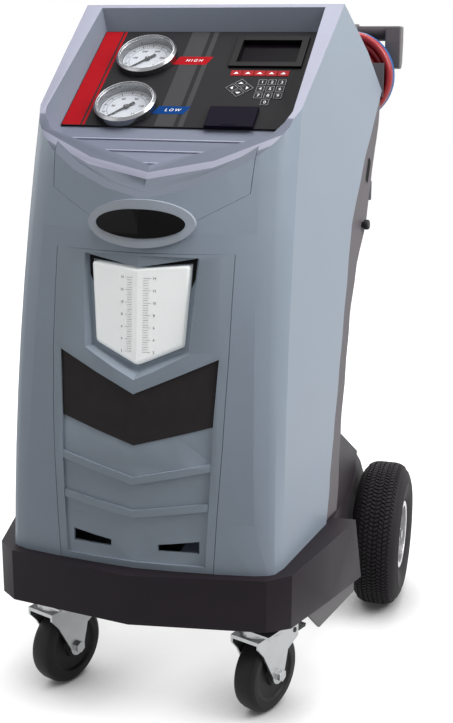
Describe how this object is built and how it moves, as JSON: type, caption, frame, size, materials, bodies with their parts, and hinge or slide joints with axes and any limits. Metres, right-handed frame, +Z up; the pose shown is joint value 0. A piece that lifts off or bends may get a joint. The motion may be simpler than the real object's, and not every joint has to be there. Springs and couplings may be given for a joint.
{
  "type": "refrigerant recovery machine",
  "caption": "Wheeled service cart with a moulded shell, tilted gauge console, oil bottle, braked casters, coiled service hoses and a tank bay, for recovering refrigerant.",
  "frame": {"origin": "on the ground below the middle of the machine's outer box", "axes": "+X to the viewer's right, -Y to the front with the console, +Z up"},
  "size_m": [0.661, 0.751, 1.062],
  "materials": {
    "base": "grained",
    "chassis": "satin",
    "shell": "satin",
    "bib": "satin",
    "badge": "gloss",
    "chevron": "matte",
    "cover": "grained",
    "handle": "grained",
    "handle_end": "satin",
    "console": "satin",
    "gauge_case": "polished",
    "dial": "satin",
    "lens": "clear",
    "pointer": "matte",
    "display": "gloss",
    "door": "satin",
    "bottle": "translucent",
    "zinc": "zinc plated",
    "caster_wheel": "matte",
    "pedal": "satin",
    "tyre": "matte",
    "rim": "satin",
    "steel": "satin",
    "compressor": "gloss",
    "pump": "satin",
    "manifold": "machined",
    "tank": "gloss",
    "port": "satin",
    "red_hose": "satin",
    "blue_hose": "satin",
    "coupler": "satin",
    "soft_key": "satin",
    "key": "satin"
  },
  "bodies": {
    "body": {"base_tray": "base", "chassis": "chassis", "front_shell": "shell", "chin_panel": "shell", "bib_panel": "bib", "badge": "badge", "chevron_plate": "chevron", "back_cover": "cover", "handle_bar": "handle", "handle_blocks": "handle_end", "console_plate": "console", "gauge_cases": "gauge_case", "gauge_dials": "dial", "gauge_lenses": "lens", "display": "display", "caster_plates": "zinc", "rear_axle": "steel", "compressor": "compressor", "vacuum_pump": "pump", "valve_manifold": "manifold", "tank": "tank", "hose_ports": "port", "red_hose": "red_hose", "red_coil": "red_hose", "blue_hose": "blue_hose", "blue_coil": "blue_hose", "hose_couplers": "coupler"},
    "left_caster": {"left_fork": "zinc"},
    "left_caster_roller": {"left_caster_wheel": "caster_wheel"},
    "left_brake_pedal": {"left_brake": "pedal"},
    "left_wheel": {"left_tyre": "tyre", "left_rim": "rim"},
    "right_caster": {"right_fork": "zinc"},
    "right_caster_roller": {"right_caster_wheel": "caster_wheel"},
    "right_brake_pedal": {"right_brake": "pedal"},
    "right_wheel": {"right_tyre": "tyre", "right_rim": "rim"},
    "high_needle": {"high_pointer": "pointer"},
    "low_needle": {"low_pointer": "pointer"},
    "printer_lid": {"printer_door": "door"},
    "bottle": {"oil_bottle": "bottle"},
    "soft_key_1_cap": {"soft_key_1": "soft_key"},
    "soft_key_2_cap": {"soft_key_2": "soft_key"},
    "soft_key_3_cap": {"soft_key_3": "soft_key"},
    "soft_key_4_cap": {"soft_key_4": "soft_key"},
    "soft_key_5_cap": {"soft_key_5": "soft_key"},
    "up_key_cap": {"up_key": "key"},
    "left_key_cap": {"left_key": "key"},
    "right_key_cap": {"right_key": "key"},
    "down_key_cap": {"down_key": "key"},
    "digit_key_0_cap": {"digit_key_0": "key"},
    "digit_key_1_cap": {"digit_key_1": "key"},
    "digit_key_2_cap": {"digit_key_2": "key"},
    "digit_key_3_cap": {"digit_key_3": "key"},
    "digit_key_4_cap": {"digit_key_4": "key"},
    "digit_key_5_cap": {"digit_key_5": "key"},
    "digit_key_6_cap": {"digit_key_6": "key"},
    "digit_key_7_cap": {"digit_key_7": "key"},
    "digit_key_8_cap": {"digit_key_8": "key"},
    "digit_key_9_cap": {"digit_key_9": "key"}
  },
  "joints": [
    {"name": "left_caster_swivel", "type": "hinge", "parent": "body", "child": "left_caster", "pos_m": [-0.166, -0.258, 0.15], "axis": [0, 0, 1], "continuous": true},
    {"name": "left_caster_roll", "type": "hinge", "parent": "left_caster", "child": "left_caster_roller", "pos_m": [-0.15812, -0.23746, 0.0635], "axis": [0.9336, -0.3584, 0], "continuous": true},
    {"name": "left_brake_press", "type": "hinge", "parent": "left_caster", "child": "left_brake_pedal", "pos_m": [-0.14306, -0.19825, 0.122], "axis": [-0.9336, 0.3584, 0], "range_deg": [0, 14]},
    {"name": "left_wheel_roll", "type": "hinge", "parent": "body", "child": "left_wheel", "pos_m": [0, 0.1975, 0.13], "axis": [1, 0, 0], "continuous": true},
    {"name": "right_caster_swivel", "type": "hinge", "parent": "body", "child": "right_caster", "pos_m": [0.166, -0.258, 0.15], "axis": [0, 0, 1], "continuous": true},
    {"name": "right_caster_roll", "type": "hinge", "parent": "right_caster", "child": "right_caster_roller", "pos_m": [0.17388, -0.23746, 0.0635], "axis": [0.9336, -0.3584, 0], "continuous": true},
    {"name": "right_brake_press", "type": "hinge", "parent": "right_caster", "child": "right_brake_pedal", "pos_m": [0.18894, -0.19825, 0.122], "axis": [-0.9336, 0.3584, 0], "range_deg": [0, 14]},
    {"name": "right_wheel_roll", "type": "hinge", "parent": "body", "child": "right_wheel", "pos_m": [0, 0.1975, 0.13], "axis": [1, 0, 0], "continuous": true},
    {"name": "high_pointer_turn", "type": "hinge", "parent": "body", "child": "high_needle", "pos_m": [-0.086, -0.00806, 0.97816], "axis": [0, 0.565, -0.8251], "range_deg": [0, 270]},
    {"name": "low_pointer_turn", "type": "hinge", "parent": "body", "child": "low_needle", "pos_m": [-0.086, -0.11038, 0.9081], "axis": [0, 0.565, -0.8251], "range_deg": [0, 270]},
    {"name": "printer_door_open", "type": "hinge", "parent": "body", "child": "printer_lid", "pos_m": [0.087, -0.11554, 0.90857], "axis": [-1, 0, 0], "range_deg": [0, 100]},
    {"name": "oil_bottle_slide", "type": "slide", "parent": "body", "child": "bottle", "axis": [0, -0.9903, 0.1392], "range_m": [0, 0.06]},
    {"name": "soft_key_1_press", "type": "slide", "parent": "body", "child": "soft_key_1_cap", "axis": [0, 0.565, -0.8251], "range_m": [0, 0.0005], "stiffness_N_per_m": 2500},
    {"name": "soft_key_2_press", "type": "slide", "parent": "body", "child": "soft_key_2_cap", "axis": [0, 0.565, -0.8251], "range_m": [0, 0.0005], "stiffness_N_per_m": 2500},
    {"name": "soft_key_3_press", "type": "slide", "parent": "body", "child": "soft_key_3_cap", "axis": [0, 0.565, -0.8251], "range_m": [0, 0.0005], "stiffness_N_per_m": 2500},
    {"name": "soft_key_4_press", "type": "slide", "parent": "body", "child": "soft_key_4_cap", "axis": [0, 0.565, -0.8251], "range_m": [0, 0.0005], "stiffness_N_per_m": 2500},
    {"name": "soft_key_5_press", "type": "slide", "parent": "body", "child": "soft_key_5_cap", "axis": [0, 0.565, -0.8251], "range_m": [0, 0.0005], "stiffness_N_per_m": 2500},
    {"name": "up_key_press", "type": "slide", "parent": "body", "child": "up_key_cap", "axis": [0, 0.565, -0.8251], "range_m": [0, 0.0005], "stiffness_N_per_m": 2500},
    {"name": "left_key_press", "type": "slide", "parent": "body", "child": "left_key_cap", "axis": [0, 0.565, -0.8251], "range_m": [0, 0.0005], "stiffness_N_per_m": 2500},
    {"name": "right_key_press", "type": "slide", "parent": "body", "child": "right_key_cap", "axis": [0, 0.565, -0.8251], "range_m": [0, 0.0005], "stiffness_N_per_m": 2500},
    {"name": "down_key_press", "type": "slide", "parent": "body", "child": "down_key_cap", "axis": [0, 0.565, -0.8251], "range_m": [0, 0.0005], "stiffness_N_per_m": 2500},
    {"name": "digit_key_0_press", "type": "slide", "parent": "body", "child": "digit_key_0_cap", "axis": [0, 0.565, -0.8251], "range_m": [0, 0.0005], "stiffness_N_per_m": 2500},
    {"name": "digit_key_1_press", "type": "slide", "parent": "body", "child": "digit_key_1_cap", "axis": [0, 0.565, -0.8251], "range_m": [0, 0.0005], "stiffness_N_per_m": 2500},
    {"name": "digit_key_2_press", "type": "slide", "parent": "body", "child": "digit_key_2_cap", "axis": [0, 0.565, -0.8251], "range_m": [0, 0.0005], "stiffness_N_per_m": 2500},
    {"name": "digit_key_3_press", "type": "slide", "parent": "body", "child": "digit_key_3_cap", "axis": [0, 0.565, -0.8251], "range_m": [0, 0.0005], "stiffness_N_per_m": 2500},
    {"name": "digit_key_4_press", "type": "slide", "parent": "body", "child": "digit_key_4_cap", "axis": [0, 0.565, -0.8251], "range_m": [0, 0.0005], "stiffness_N_per_m": 2500},
    {"name": "digit_key_5_press", "type": "slide", "parent": "body", "child": "digit_key_5_cap", "axis": [0, 0.565, -0.8251], "range_m": [0, 0.0005], "stiffness_N_per_m": 2500},
    {"name": "digit_key_6_press", "type": "slide", "parent": "body", "child": "digit_key_6_cap", "axis": [0, 0.565, -0.8251], "range_m": [0, 0.0005], "stiffness_N_per_m": 2500},
    {"name": "digit_key_7_press", "type": "slide", "parent": "body", "child": "digit_key_7_cap", "axis": [0, 0.565, -0.8251], "range_m": [0, 0.0005], "stiffness_N_per_m": 2500},
    {"name": "digit_key_8_press", "type": "slide", "parent": "body", "child": "digit_key_8_cap", "axis": [0, 0.565, -0.8251], "range_m": [0, 0.0005], "stiffness_N_per_m": 2500},
    {"name": "digit_key_9_press", "type": "slide", "parent": "body", "child": "digit_key_9_cap", "axis": [0, 0.565, -0.8251], "range_m": [0, 0.0005], "stiffness_N_per_m": 2500}
  ]
}
